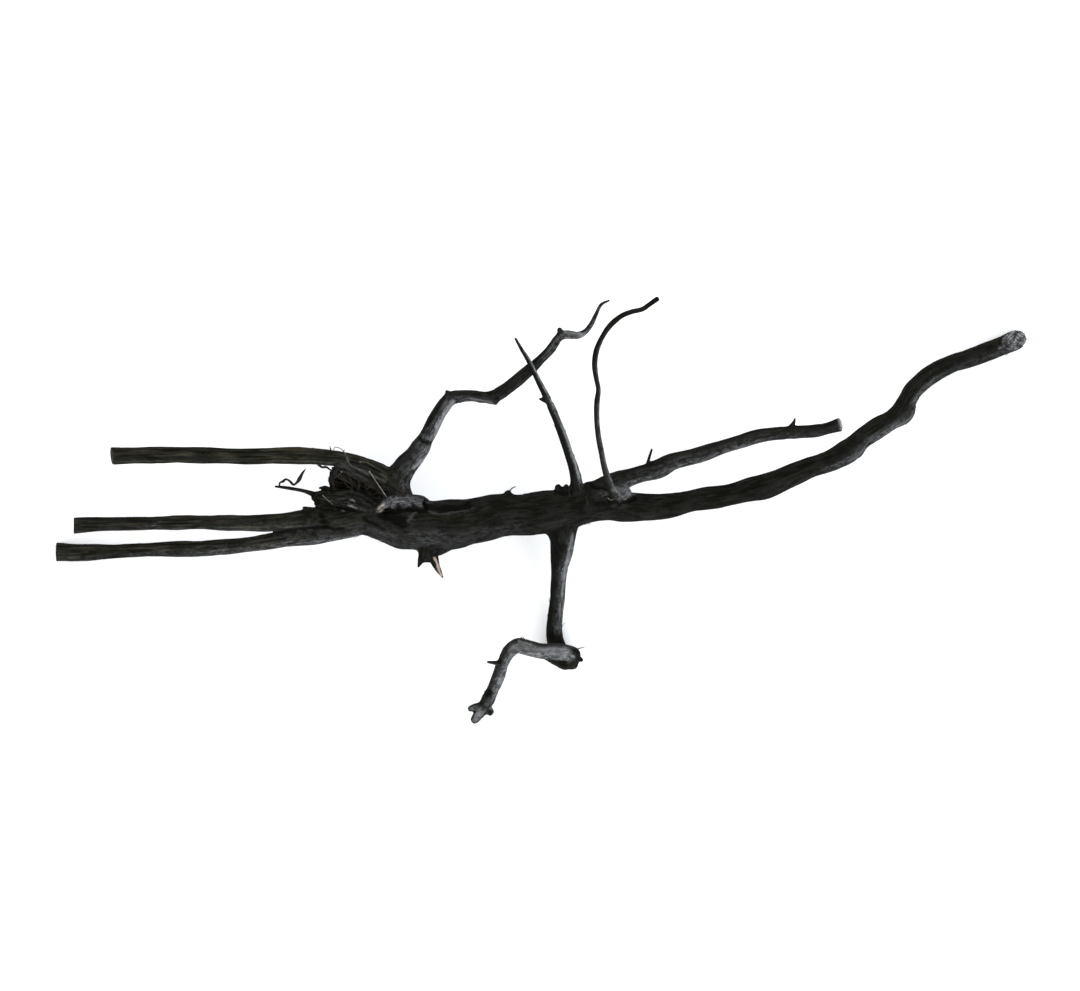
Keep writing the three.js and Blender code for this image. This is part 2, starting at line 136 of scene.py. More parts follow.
# Smaller torn pieces, too fine for the solid: slats across the torn hollow, and flakes.
SLATS = {
    "slat_left": [(-137.5, 29, 47, 2.2), (-133.5, 24.6, 46, 2.3), (-126, 20, 44, 2),
     (-120, 16, 43, 1.6)],
    "slat_right": [(-130, 29.5, 50, 1.7), (-124, 24, 48, 1.6), (-117, 19.5, 46, 1.2), (-110, 15, 45, 1)],
    "slat_upright": [(-137.5, 30, 50, 1.3), (-138.4, 22, 46.5, 1.2), (-137, 13, 46, 1.1)],
    "slat_short": [(-121.5, 26, 49, 1), (-120.6, 19, 47, 0.9), (-121.2, 13, 46, 0.9)],
    "stub_bark_left": [(-96, 10.4, 57.5, 1.5), (-100.5, 9, 59, 1.4), (-104.5, 6, 59, 1)],
    "stub_bark_right": [(-77, 7.6, 54, 1.6), (-82, 10, 55.5, 1.6), (-88, 11.2, 56, 1.2)],
    "chip_front": [(-127.5, 5, 52, 1.3), (-124.5, 4, 53.2, 1), (-121.5, 2.6, 53.2, 0.7)],
    "chip_back": [(-127, 8.6, 52, 1.2), (-124.5, 8, 53, 1), (-122.5, 6.6, 53, 0.6)],
    "hollow_wall": [(-137, 27, 40, 3.4), (-137.5, 20, 39, 4), (-136, 13, 40, 4)],
    "ragged_base": [(-136, 5, 42, 5.5), (-144, 5.4, 42.5, 4), (-148.4, 5.6, 43, 2.4)],
    "root_web": [(-150, -11.5, 35, 5), (-165, -12.2, 33, 3.5), (-178, -13.6, 31, 1.3)],
    "knob_ball": [(15, -98.5, 8.6, 6), (19.4, -100.6, 8.5, 6.6), (21.6, -101.4, 8.5, 5.2)],
    "crown_flake": [(-139, 14, 44, 2), (-143, 16.4, 45, 1.3), (-147, 16, 46, 0.8)],
}
LIMBS.update(SLATS)

# The direction that each sawn end looks in.
SAW_CUTS = {
    "main_stem": (0.56, 0.21, 0.80),
    "short_branch": (0.9, 0.2, 0.4),
    "upper_root": (-1, -0.12, 0.25),
    "middle_root": (-1, 0, 0.1),
    "lower_root": (-1, 0, 0),
}

# How each limb's bark looks: depth of its furrows, height of its fibre ridges and of its lumps,
# in millimetres, then how brown and how torn it is.
BARK = {
    "main_stem": (0.35, 0.16, 0.6, 0.06, 0.0),
    "short_branch": (0.35, 0.18, 0.3, 0.12, 0.0),
    "crooked_branch": (0.5, 0.3, 0.5, 0.05, 0.0),
    "straight_twig": (0.25, 0.16, 0.35, 0.0, 0.0),
    "wavy_twig": (0.2, 0.16, 0.3, 0.25, 0.0),
    "forward_root": (0.4, 0.2, 0.35, 0.05, 0.0),
    "hook": (0.55, 0.36, 0.6, 0.1, 0.1),
    "knob_heel": (0.4, 0.3, 0.5, 1.0, 0.0),
    "knob_ball": (0.4, 0.3, 0.6, 1.0, 0.0),
    "upper_root": (0.6, 0.32, 0.25, 0.9, 0.1),
    "middle_root": (0.55, 0.3, 0.25, 0.8, 0.1),
    "lower_root": (0.55, 0.3, 0.3, 0.9, 0.1),
    "torn_ridge": (0.6, 0.35, 0.5, 0.3, 0.5),
    "torn_hollow": (0.9, 0.5, 0.6, 0.45, 1.0),
    "torn_lip": (0.5, 0.3, 0.5, 0.2, 0.8),
    "ragged_end ragged_base": (0.9, 0.8, 1.3, 0.1, 2.0),
    "web_lip": (0.35, 0.22, 0.25, 0.3, 0.2),
    "broken_stub": (0.55, 0.45, 0.7, 0.0, 0.5),
    "snapped_spur": (0.55, 0.28, 0.5, 0.1, 0.4),
    "left_splinter": (0.4, 0.25, 0.2, 0.2, 0.6),
    "right_splinter": (0.4, 0.25, 0.2, 0.3, 0.6),
    "slat_left slat_right": (0.4, 0.3, 0.2, 0.9, 0.5),
    "slat_upright slat_short": (0.3, 0.2, 0.2, 0.9, 0.5),
    "hollow_wall": (0.8, 0.5, 0.6, 0.3, 1.0),
}
BARK = {name: looks for names, looks in BARK.items() for name in names.split()}
PLAIN_BARK = (0.25, 0.15, 0.3, 0.1, 0.0)

# How dusty grey each limb is, as pairs of distance along it (0 to 1) and amount, then the same for
# how much greyer its side that looks forwards and to the right is: a painted highlight where the light
# falls.
DUST_AND_SHEEN = {
    "main_stem": ([(0, 0.03), (0.25, 0.01), (0.45, 0), (0.7, 0.005), (0.9, 0.01), (1, 0.04)],
     [(0, 0.12), (0.15, 0.1), (0.3, 0.03), (0.55, 0.01), (0.66, 0.05), (0.72, 0.32), (0.82, 0.4),
      (0.9, 0.08), (1, 0.08)]),
    "short_branch": ([(0, 0.03), (0.3, 0.12), (0.5, 0.14), (0.75, 0.04), (1, 0.04)],
     [(0, 0.2), (0.5, 0.3), (1, 0.12)]),
    "crooked_branch": ([(0, 0.03), (0.12, 0.1), (0.2, 0.16), (0.27, 0.28), (0.36, 0.36),
      (0.46, 0.12), (0.54, 0.03), (0.68, 0.03), (0.76, 0.3), (0.86, 0.5), (0.93, 0.06), (1, 0.5)],
     [(0, 0.12), (0.2, 0.35), (0.27, 0.6), (0.4, 0.6), (0.5, 0.15), (0.65, 0.05), (0.76, 0.2),
      (1, 0.3)]),
    "straight_twig": ([(0, 0), (0.12, 0), (0.2, 0.02), (1, 0.03)],
     [(0, 0), (0.1, 0.05), (0.18, 0.8), (0.6, 1.1), (0.8, 0.7), (1, 0.3)]),
    "wavy_twig": ([(0, 0.2), (0.1, 0.1), (0.3, 0.04), (0.6, 0.03), (0.75, 0), (1, 0)],
     [(0, 0.5), (0.15, 0.4), (0.6, 0.35), (0.75, 0.06), (1, 0.03)]),
    "forward_root": ([(0, 0), (0.12, 0), (0.25, 0.06), (0.4, 0.18), (0.75, 0.16), (0.82, 0)],
     [(0, 0), (0.12, 0.15), (0.2, 0.6), (0.35, 0.45), (0.75, 0.3), (0.82, 0)]),
    "hook": ([(0, 0), (0.07, 0), (0.11, 0.7), (0.16, 0.95), (0.35, 0.9), (0.5, 0.55), (0.8, 0.4),
      (1, 0.7)],
     [(0, 0), (0.1, 0.2), (0.6, 0.4), (1, 0.3)]),
    "upper_root": ([(0, 0.03), (0.4, 0.02), (1, 0)], [(0, 0.05)]),
    "middle_root": ([(0, 0.05), (0.4, 0.04), (1, 0)], [(0, 0.06)]),
    "lower_root": ([(0, 0.15), (0.35, 0.13), (0.6, 0.03), (1, 0.01)], [(0, 0.4), (0.4, 0.2), (1, 0.03)]),
    "torn_ridge": ([(0, 0.03), (1, 0.05)], [(0, 0.1)]),
    "broken_stub": ([(0, 0.35), (0.2, 0.6), (1, 0.6)], [(0, 0.1)]),
    "hook_barb": ([(0, 0.3), (1, 0)], [(0, 0.1)]),
    "wavy_twig_foot": ([(0, 0.1), (1, 0.35)], [(0, 0.2)]),
}

# Limbs that are equally dusty all along: the same two amounts, dust and the painted highlight.
EVEN_DUST_AND_SHEEN = {
    (0.0, 0.0): "torn_hollow hollow_wall ragged_end ragged_base stem_bump fork_bump",
    (0.0, 0.03): "left_splinter right_splinter",
    (0.0, 0.05): "snapped_spur short_branch_thorn twig_barb fork_web",
    (0.01, 0.03): "knob_heel knob_ball",
    (0.02, 0.05): "short_branch_barb",
    (0.02, 0.1): "spur_heel",
    (0.03, 0.0): "second_fork_bump",
    (0.03, 0.05): "web_lip",
    (0.05, 0.05): "slat_left slat_right hook_heel",
    (0.4, 0.2): "right_toe",
    (0.5, 0.2): "chip_front chip_back left_toe",
    (0.6, 0.1): "stub_bark_left stub_bark_right",
}
for (base, side), names in EVEN_DUST_AND_SHEEN.items():
    DUST_AND_SHEEN.update({name: ([(0, base)], [(0, side)]) for name in names.split()})
PLAIN_DUST_AND_SHEEN = ([(0, 0.02)], [(0, 0.15)])
# The side that faces the light: the painted highlight lies on it, painted shade on the side opposite.
LIT_SIDE = (0.78, -0.62, 0.0)

# Creases, dark hollows, pale edges and chips on the upper side; some dark ones are painted shade in
# hollows and under overhangs, and some pale ones painted highlights on sides that face the light. Each
# is a line through points x, y, then its half width, how far it stands out (below 0 it is cut in) and
# how pale it is (below 0 it is dark).
STROKES = [
    # hollow beneath the broken stub, cut in and painted dark as its shade, and the ridge to the right of
    # it
    ([(-104, -0.5), (-98, -4), (-93, -6.5)], 4.2, -2.2, -0.9),
    ([(-80, 2.3), (-86, -3.5), (-92.5, -9.5)], 0.8, 0.7, 0.16),
    # crease along the top of the stem, cut in and painted dark as shade, and its front edge
    ([(-75, 4.2), (-66, 2.3), (-56, 2.6), (-47, 4.5)], 2.0, -1.3, -0.8),
    ([(-77, 2.6), (-70, -0.6), (-60, -0.4), (-45, 2.2)], 0.6, 0.5, 0.13),
    # blunt end of the broken stub, a painted shadow in the groove under its front edge, and notches
    # along that edge
    ([(-75.5, 9), (-75.8, 5), (-77, 1.4)], 1.3, -1.8, -0.9),
    ([(-104, 0.6), (-97, 1.4), (-88, 1.8), (-80, 2)], 1.6, -1.6, -0.9),
    ([(-84, 3), (-84.4, 4.6)], 0.5, -0.5, -0.5),
    ([(-93.8, 3), (-94.6, 5)], 0.8, -0.8, -0.8),
    ([(-99.6, 3), (-99.2, 5.2)], 0.6, -0.5, -0.6),
    # cracks of the crown
    ([(-145.4, -2), (-144.6, -6.5), (-142.5, -10.4), (-137, -11.6), (-131, -11)], 0.9, -1.0, -0.9),
    ([(-177, -12.9), (-165, -12.4), (-152, -11.2), (-143, -10.2)], 1.3, -1.2, -0.8),
    ([(-118, -4), (-112, -7.5), (-104, -11)], 0.9, -0.7, -0.5),
    # curved striations of the torn ridge
    ([(-135, 12.4), (-127, 14), (-118, 11.6), (-110, 6)], 0.7, 0.25, 0.05),
    ([(-135, 10.4), (-127, 12.2), (-118, 9.8), (-111, 4.6)], 0.5, -0.25, -0.25),
    ([(-135, 8.4), (-127, 10.2), (-119, 8), (-112, 3)], 0.6, 0.15, 0.04),
    ([(-134, 6.4), (-127, 8), (-120, 6.2), (-114, 1.8)], 0.5, -0.25, -0.25),
    ([(-133, 2.6), (-126, 1.4), (-119, -0.6)], 0.9, -0.8, -0.7),
    ([(-126, 8.2), (-123.4, 7.1)], 0.6, 0.2, 0.22),
    ([(-128, 4.7), (-122.5, 2.8)], 0.5, 0.2, 0.22),
    ([(-132, 1.2), (-130.5, 0.8)], 0.4, 0.2, 0.4),
    ([(-137.6, 30), (-138.8, 22), (-138, 13)], 1.4, -0.4, -0.6),
    # edge of the web between the upper root and the crooked branch; the two pale lines are painted
    # highlights where its lip catches the light
    ([(-128.4, 36.4), (-125.6, 31), (-120, 28), (-112, 25), (-103, 20)], 0.7, 0.4, 0.12),
    ([(-133, 31.5), (-124, 26.2), (-113, 20.6), (-104, 15)], 0.6, 0.2, 0.05),
    ([(-126, 33), (-116, 31.5), (-106, 26)], 0.8, -0.6, -0.5),
    # crooked branch: the knot ring, pale edges that are painted highlights on the sides facing the
    # light, painted shade along two sides turned from it, and a dark spot near the tip
    ([(-80.4, 48.6), (-77, 46.6), (-72, 45.6)], 0.8, -0.9, -0.75),
    ([(-79, 51.4), (-75, 49.6), (-71, 48.4)], 1.0, 0.35, 0.05),
    ([(-72.8, 42.6), (-74.8, 38.4), (-78.6, 33.8), (-83.6, 29.6)], 0.9, 0.3, 0.7),
    ([(-88, 44), (-93, 37), (-100, 31)], 1.2, -0.4, -0.5),
    ([(-58, 73.5), (-63, 66), (-67.5, 57), (-69.5, 51)], 1.1, 0.2, 0.7),
    ([(-64, 76), (-70, 66), (-74.6, 58)], 1.4, -0.3, -0.65),
    ([(-3.4, 100)], 1.3, -0.4, -0.8),
    ([(-46, 75.6), (-38, 74), (-32, 73)], 0.8, 0.2, 0.4),
    ([(17, 119.6), (22, 119.4), (27, 119)], 1.0, 0.2, 0.6),
    # fork: crease behind the straight twig, and the feet of the twigs
    ([(30, 22), (35, 17), (44, 15)], 1.0, -0.9, -0.6),
    ([(47, 6.8), (54, 5.6), (63, 8.6)], 1.4, -0.8, -0.8),
    ([(50, 15), (56, 14), (62, 13)], 2.0, 0.2, 0.28),
    ([(64.7, 0), (64.2, 3)], 0.5, -0.3, -0.6),
    ([(69.4, -0.4), (69, 2.6)], 0.4, -0.3, -0.5),
    ([(73.4, 0.8), (72.8, 3.8)], 0.4, -0.3, -0.6),
    ([(78, 0.6), (77.4, 3)], 0.5, -0.3, -0.5),
    ([(10, 13), (15, 12), (20, 13)], 1.1, -0.7, -0.6),
    # pale and dark sides of the straight twig: painted highlights on the side that faces the light,
    # painted shade on the side turned from it
    ([(26, 23), (22.4, 36), (18.4, 48), (14.2, 60)], 0.8, 0.1, 0.7),
    ([(21.8, 26), (18, 38), (14.2, 49), (10.4, 59), (6.4, 68)], 1.2, 0, -0.6),
    ([(1.6, 84), (-2.6, 92.5), (-6.6, 100)], 0.5, 0, 0.4),
    ([(2.4, 77), (-2, 85.6), (-6, 94), (-10, 101)], 0.8, 0, -0.6),
    # forward root and hook
    ([(-19, -91.4), (-14, -88.6), (-8, -90.2), (0, -92.4), (10, -92.8), (18, -93.6)], 2.4, 0, 0.22),
    # painted shadow of the hook, on the knob beneath it
    ([(6, -100.6), (12, -103.2), (19, -104.4)], 2.6, -0.2, -0.7),
    # painted highlights down the forward root's right side, and painted shade down its left side
    ([(21.6, -16), (20.4, -22), (19, -29), (18, -36)], 0.9, 0.1, 0.45),
    ([(9.6, -14), (11, -24), (9.6, -36), (8.8, -48), (7.2, -62), (6.4, -74), (6, -84)], 2.9, -0.2, -0.7),
    ([(17.4, -34), (16, -44), (14.8, -56)], 0.6, 0.1, 0.35),
    ([(-37.2, -119.6), (-34, -122)], 2.8, -0.9, -1.3),
    ([(-27, -101)], 1.8, -0.3, -0.9),
    ([(-45.4, -134.8)], 1.5, -0.4, -1.1),
    ([(-33.6, -135.4)], 2.2, -0.2, -0.9),
    ([(22.4, -101.4), (25.4, -99.6), (25.6, -102.4)], 1.8, 0, -0.85),
    ([(-40.6, -134), (-43.8, -139.6)], 1.6, 0.1, 0.5),
    ([(24, -94), (26.6, -98), (28, -101)], 2.6, -0.5, -1.0),
    ([(-2, -92), (8, -91), (17, -91.5)], 0.9, 0.2, 0.5),
    ([(-14, -86.2), (-6, -88.6)], 0.8, 0.2, 0.5),
    # long branch: painted highlights on the bulges' front edges, and the sawn end's swirl
    ([(206, 34), (212.6, 37.2), (217, 42)], 0.7, 0.1, 0.25),
    ([(240, 57), (246.4, 61), (250, 65)], 0.7, 0.1, 0.25),
    ([(309, 113), (313, 110), (317.4, 113.4), (314, 117.4)], 1.2, -0.2, -0.8),
    # pale rim of the short branch's end, and a fleck on the middle root
    ([(199, 62.6), (201, 58), (200.4, 53.6)], 2.2, 0.1, 1.4),
    ([(-259.4, -9.2), (-254.4, -6.7)], 0.35, 0.1, 0.55),
    ([(-285.2, 43.5), (-285.2, 30.5)], 1.8, -0.1, -0.8),
    ([(-312.8, -4), (-312.8, -14)], 1.2, -0.1, -0.6),
]

# Freshly broken wood, pale and warm: points x, y and a half width.
FRESH_WOOD = [
    ([(-106.5, 1.4), (-104.8, 4)], 1.4),
    ([(-70, -31), (-67.4, -37.5), (-65.6, -42)], 0.95),
]

# Loose fibres on the wood's upper side: points x, y and how far above the wood, then a radius at
# each end and how pale it is.
LYING_FIBRES = [
    ([(-113.6, 27.4, 0.5), (-108, 19, 1.6), (-102, 10, 0.7)], 0.34, 0.22, 0.9),
    ([(-115.4, 15, 0.8), (-109.6, 21, 0.8)], 0.3, 0.2, 0.7),
    ([(-128.6, 37, 0.3), (-126, 31.5, 0.6), (-119, 28, 0.5)], 0.4, 0.25, 0.6),
    ([(-145, 11.3, 0.2), (-141.6, 8.2, 0.9), (-138, 5, 0.3)], 0.36, 0.2, 0.7),
    ([(-146, 9, 0.2), (-142, 8, 0.8), (-139, 7, 0.3)], 0.3, 0.2, 0.5),
    ([(-120, 33.4, 0.2), (-115, 33, 1.1), (-110, 30, 0.2)], 0.34, 0.2, 0.6),
    ([(45, 9.6, 0.2), (47, 8, 0.8), (49.4, 8.6, 0.2)], 0.3, 0.2, 0.8),
    ([(-131, 20, 0.8), (-124, 13.5, 1.2)], 0.35, 0.2, 0.4),
    ([(-128, 27, 0.8), (-125, 18, 1.5), (-126, 12, 0.5)], 0.35, 0.25, 0.35),
    ([(-114, 24, 0.6), (-116.5, 18.5, 1.2), (-115, 13, 0.5)], 0.35, 0.25, 0.3),
]

# Fibres and hair roots that stand free: points x, y, z and radius, then how pale each is.
FREE_FIBRES = [
    ([(-173.4, 17, 50.2, 0.55), (-173.2, 19.4, 50.8, 0.7), (-171, 20.4, 51, 0.95),
      (-169.2, 21.8, 51, 0.7), (-166.6, 20.6, 50.4, 0.8), (-164, 18.2, 49.6, 0.8),
      (-161.4, 20.2, 49.8, 1.0), (-159.6, 23, 50.4, 1.3), (-158, 26, 51, 0.8),
      (-156, 28.6, 51.6, 0.25)], 0.12),
    ([(-147.6, 31.8, 53, 0.9), (-145, 29.8, 51, 0.9), (-142.4, 29.9, 50, 0.7),
      (-139.8, 28.2, 49, 0.65), (-136.5, 26, 48, 0.5)], 0.15),
    ([(-137, 40, 56, 0.3), (-136.4, 43, 57.4, 0.3), (-132.6, 42.2, 58, 0.28),
      (-129, 38.8, 57, 0.25)], 0.8),
    ([(-139, 41, 56, 0.5), (-139.6, 43.8, 57.6, 0.25)], 0.05),
    ([(-131, 39, 56, 0.5), (-130, 41.4, 57.6, 0.25)], 0.05),
    ([(-113, 31.4, 54, 0.6), (-112.4, 34.8, 56, 0.25)], 0.05),
    ([(-21, 12, 43, 0.8), (-19.8, 14.6, 43.6, 0.5), (-18, 16.2, 44, 0.35), (-16, 17, 44, 0.2)], 0.1),
    ([(-14, -86, 32, 0.3), (-11.8, -83.6, 34, 0.3), (-9, -86.8, 34, 0.2)], 0.4),
    ([(21, -94, 18, 0.4), (25.4, -92, 17, 0.35), (29.8, -91, 16, 0.25)], 0.1),
]
HAIR_COUNT = 150  # short hairs all over the bark
TORN_FIBRE_COUNT = 46  # broken fibres in the torn hollow

SWELL_SHARE = 0.03  # two lobes that wind along a limb, as a share of its radius
SWELL_TURNS = 0.21  # radians for each millimetre
FLUTE_SHARE = 0.06  # uneven ridges along a limb, as a share of its radius
FLUTE_LENGTH = 24
LONG_FLUTES = {"upper_root": 70, "middle_root": 70, "lower_root": 70}
RING_STEP = 0.9
SIDE_STEP = 0.8
VOXEL = 0.6
FILLET_PASSES = 50
MOST_TRIANGLES = 190_000
MEETING_WIDTH = 1.6  # how gently one limb's bark gives way to the next
LIMB_APART = 400.0  # keeps the grain of two limbs from lining up
LOWEST = 0.02  # keeps the wood just off the floor
DEEP_HOLLOW = 0.05  # how far a vertex lies below its neighbours where a hollow is darkest
STAINED_CUT = 0.35  # how much of the clean saw face shows on the long roots
ROWS_AT_ONCE = 4000  # keeps the table of distances small
HOLLOW_START = (-137, 24.5)  # the torn hollow, from its left end
HOLLOW_RUN = (34, -11)
HAIR_LENGTH = (2, 6.5)
HAIR_RADIUS = (0.12, 0.22)
# limbs that keep a hard edge where they leave the wood
SHARP = (
    "left_splinter", "right_splinter", "curled_rootlet", "hook_barb", "twig_barb", "short_branch_barb",
    "short_branch_thorn", "torn_lip", "ragged_end", "web_lip", "broken_stub", "torn_hollow",
    *SLATS,
)


# ---------------------------------------------------------------- repeatable noise


def cell_value(x, y, z, seed):
    """A repeatable value from -1 to 1 for each whole-number cell."""
    h = (x * 73856093) ^ (y * 19349663) ^ (z * 83492791) ^ (seed * 40503 + 17)
    h = (h & 0xFFFFFFFF) * 1274126177 & 0xFFFFFFFF
    h = (h ^ (h >> 15)) * 2246822519 & 0xFFFFFFFF
    h = h ^ (h >> 13)
    return (h & 0xFFFF) / 32767.5 - 1


def noise(points, seed=0):
    """Smooth noise from -1 to 1 at each row of points, one cell wide."""
    cell = np.floor(points).astype(np.int64)
    f = points - cell
    f = f * f * f * (f * (f * 6 - 15) + 10)
    total = np.zeros(len(points))
    for corner in range(8):
        on = [(corner >> axis) & 1 for axis in range(3)]
        weight = np.ones(len(points))
        for axis in range(3):
            weight *= f[:, axis] if on[axis] else 1 - f[:, axis]
        total += weight * cell_value(cell[:, 0] + on[0], cell[:, 1] + on[1], cell[:, 2] + on[2], seed)
    return total


def layered(points, seed=0, layers=3, gain=0.5):
    """Noise with finer layers added, still from about -1 to 1."""
    total, size, most = 0, 1.0, 0
    for layer in range(layers):
        total = total + size * noise(points * 2.03**layer, seed + 31 * layer)
        most += size
        size *= gain
    return total / most


def smooth_step(low, high, value):
    """0 at low and beyond, 1 at high and beyond; low may be the larger."""
    t = np.clip((value - low) / (high - low), 0, 1)
    return t * t * (3 - 2 * t)


# ---------------------------------------------------------------- limbs as swept skins


def centripetal(p, t):
    """Catmull-Rom through p[1] and p[2], with knots spaced by the square root of distance."""
    gap = [max(float(np.linalg.norm(b - a)) ** 0.5, 1e-4) for a, b in zip(p, p[1:])]
    start = (p[1] - p[0]) / gap[0] - (p[2] - p[0]) / (gap[0] + gap[1]) + (p[2] - p[1]) / gap[1]
    end = (p[2] - p[1]) / gap[1] - (p[3] - p[1]) / (gap[1] + gap[2]) + (p[3] - p[2]) / gap[2]
    start, end = start * gap[1], end * gap[1]
    t = t[:, None]
    square = 3 * (p[2] - p[1]) - 2 * start - end
    cube = 2 * (p[1] - p[2]) + start + end
    return p[1] + start * t + square * t**2 + cube * t**3


def follow(rows, step):
    """Centres and radii every step or so along the curve through the rows."""
    rows = np.array(rows, float)
    padded = np.vstack([2 * rows[0] - rows[1], rows, 2 * rows[-1] - rows[-2]])
    centres, radii = [], []
    for i in range(len(rows) - 1):
        four = padded[i : i + 4]
        count = max(1, round(float(np.linalg.norm(rows[i + 1, :3] - rows[i, :3])) / step))
        t = np.arange(count + (i == len(rows) - 2)) / count
        centres.append(centripetal([row[:3] for row in four], t))
        radii.append(centripetal([row[3:] for row in four], t)[:, 0])
    return np.vstack(centres), np.concatenate(radii)


def unit(v):
    return v / np.maximum(np.linalg.norm(v, axis=-1, keepdims=True), 1e-9)


def framed(rows, step):
    """A limb as evenly spaced places: centre, radius, direction, two directions across it, and
    distance from its start."""
    centres, radii = follow(rows, step)
    along = unit(np.gradient(centres, axis=0))
    up = np.array([0.0, 0.0, 1.0])
    across, ups = [], []
    for direction in along:
        side = unit(np.cross(up, direction))
        up = unit(np.cross(direction, side))
        across.append(side)
        ups.append(up)
    steps = np.linalg.norm(np.diff(centres, axis=0), axis=1)
    return {
        "centre": centres,
        "radius": radii,
        "along": along,
        "across": np.array(across),
        "up": np.array(ups),
        "gone": np.concatenate([[0], np.cumsum(steps)]),
    }


def skin(places, sides, section, saw_cut=None):
    """A closed skin round a limb. section(angle, gone) gives the share of the radius there."""
    p = {name: values.copy() for name, values in places.items()}
    if saw_cut is None:
        for ahead, share in ((0.45, 0.86), (0.8, 0.5)):
            last = places["centre"][-1] + places["along"][-1] * ahead * places["radius"][-1]
            p["centre"] = np.vstack([p["centre"], last])
            p["radius"] = np.append(p["radius"], places["radius"][-1] * share)
            for name in ("along", "across", "up"):
                p[name] = np.vstack([p[name], p[name][-1]])
            p["gone"] = np.append(p["gone"], p["gone"][-1] + 0.4 * places["radius"][-1])
    angle = np.arange(sides) / sides * 2 * np.pi
    reach = p["radius"][:, None] * section(angle[None, :], p["gone"][:, None])
    out = np.cos(angle)[None, :, None] * p["across"][:, None, :]
    out = out + np.sin(angle)[None, :, None] * p["up"][:, None, :]
    points = p["centre"][:, None, :] + reach[..., None] * out
    if saw_cut is not None:
        normal = unit(np.array(saw_cut, float))
        direction = p["along"][-1]
        off = (points[-1] - p["centre"][-1]) @ normal / (direction @ normal)
        points[-1] -= off[:, None] * direction
    rings = len(points)
    vertices = np.vstack([points.reshape(-1, 3), p["centre"][:1], p["centre"][-1:]])
    ring, side = np.meshgrid(np.arange(rings - 1), np.arange(sides), indexing="ij")
    a, b = ring * sides + side, ring * sides + (side + 1) % sides
    quads = np.stack([a, b, b + sides, a + sides], -1).reshape(-1, 4).tolist()
    side = np.arange(sides)
    after, last = (side + 1) % sides, (rings - 1) * sides
    start, end = rings * sides, rings * sides + 1
    quads += [[start, int(j), int(i)] for i, j in zip(side, after)]
    quads += [[end, int(last + i), int(last + j)] for i, j in zip(side, after)]
    return vertices, quads


def limb_section(seed, flute_length):
    """An uneven round section: two lobes that wind, and flutes that come and go."""

    def section(angle, gone):
        swell = SWELL_SHARE * np.cos(2 * angle + SWELL_TURNS * gone)
        shape = np.broadcast(angle, gone).shape
        spot = (gone / flute_length + seed * 7.3, np.cos(angle) * 1.7, np.sin(angle) * 1.7)
        spot = np.stack([np.broadcast_to(value, shape).ravel() for value in spot], -1)
        return 1 + swell + FLUTE_SHARE * layered(spot, seed, 2).reshape(shape)

    return section


def join_skins(skins):
    vertices, faces, count = [], [], 0
    for points, polygons in skins:
        vertices.append(points)
        faces += [[i + count for i in polygon] for polygon in polygons]
        count += len(points)
    return np.vstack(vertices), faces


def new_object(name, vertices_mm, faces):
    mesh = bpy.data.meshes.new(name)
    mesh.from_pydata((vertices_mm * MM).tolist(), [], faces)
    mesh.update()
    made = bpy.data.objects.new(name, mesh)
    bpy.context.scene.collection.objects.link(made)
    return made


def apply_modifiers(target):
    """Replaces an object's mesh with what its modifiers make of it."""
    layer = bpy.context.evaluated_depsgraph_get()
    mesh = bpy.data.meshes.new_from_object(target.evaluated_get(layer))
    target.modifiers.clear()
    target.data = mesh


def read(mesh, what="co"):
    values = np.empty(len(mesh.vertices) * 3, np.float32)
    mesh.vertices.foreach_get(what, values)
    return values.reshape(-1, 3).astype(float)


def write(mesh, points_mm):
    mesh.vertices.foreach_set("co", (points_mm * MM).astype(np.float32).ravel())
    mesh.update()


def edge_pairs(mesh):
    pairs = np.empty(len(mesh.edges) * 2, np.int32)
    mesh.edges.foreach_get("vertices", pairs)
    return pairs.reshape(-1, 2)


def neighbour_mean(values, pairs, count):
    """The mean of each vertex's neighbours, for one column or three."""
    ends = np.concatenate([pairs[:, 0], pairs[:, 1]])
    others = np.concatenate([pairs[:, 1], pairs[:, 0]])
    share = np.maximum(np.bincount(ends, minlength=count), 1)
    columns = values[:, None] if values.ndim == 1 else values
    sums = [np.bincount(ends, column[others], minlength=count) / share for column in columns.T]
    return sums[0] if values.ndim == 1 else np.stack(sums, -1)


def store(mesh, name, values):
    """Keeps values on the mesh's vertices for the material to read."""
    kind = "FLOAT" if values.ndim == 1 else "FLOAT_VECTOR"
    layer = mesh.attributes.new(name, kind, "POINT")
    layer.data.foreach_set("value" if values.ndim == 1 else "vector", values.astype(np.float32).ravel())


def smooth(mesh):
    mesh.polygons.foreach_set("use_smooth", [True] * len(mesh.polygons))


# ---------------------------------------------------------------- the root's wood

limb_names = list(LIMBS)
places = {name: framed(rows, RING_STEP) for name, rows in LIMBS.items()}
on_limbs = {
    key: np.concatenate([places[name][key] for name in limb_names])
    for key in ("centre", "radius", "along", "across", "up", "gone")
}
limb_sizes = [len(places[name]["radius"]) for name in limb_names]
limb_of = np.repeat(np.arange(len(limb_names)), limb_sizes)
limb_starts = np.concatenate([[0], np.cumsum(limb_sizes)[:-1]])


def nearest_limbs(points):
    """For each point, how far it is off each limb's skin, and its nearest place on any limb."""
    off = np.empty((len(points), len(limb_names)))
    nearest = np.empty(len(points), int)
    centres = on_limbs["centre"].astype(np.float32)
    radii = on_limbs["radius"].astype(np.float32)
    for start in range(0, len(points), ROWS_AT_ONCE):
        rows = slice(start, start + ROWS_AT_ONCE)
        chunk = points[rows].astype(np.float32)
        square = (chunk**2).sum(1)[:, None] + (centres**2).sum(1)[None, :] - 2 * chunk @ centres.T
        gap = np.sqrt(np.maximum(square, 0)) - radii[None, :]
        off[rows] = np.minimum.reduceat(gap, limb_starts, axis=1)
        nearest[rows] = gap.argmin(1)
    return off, nearest


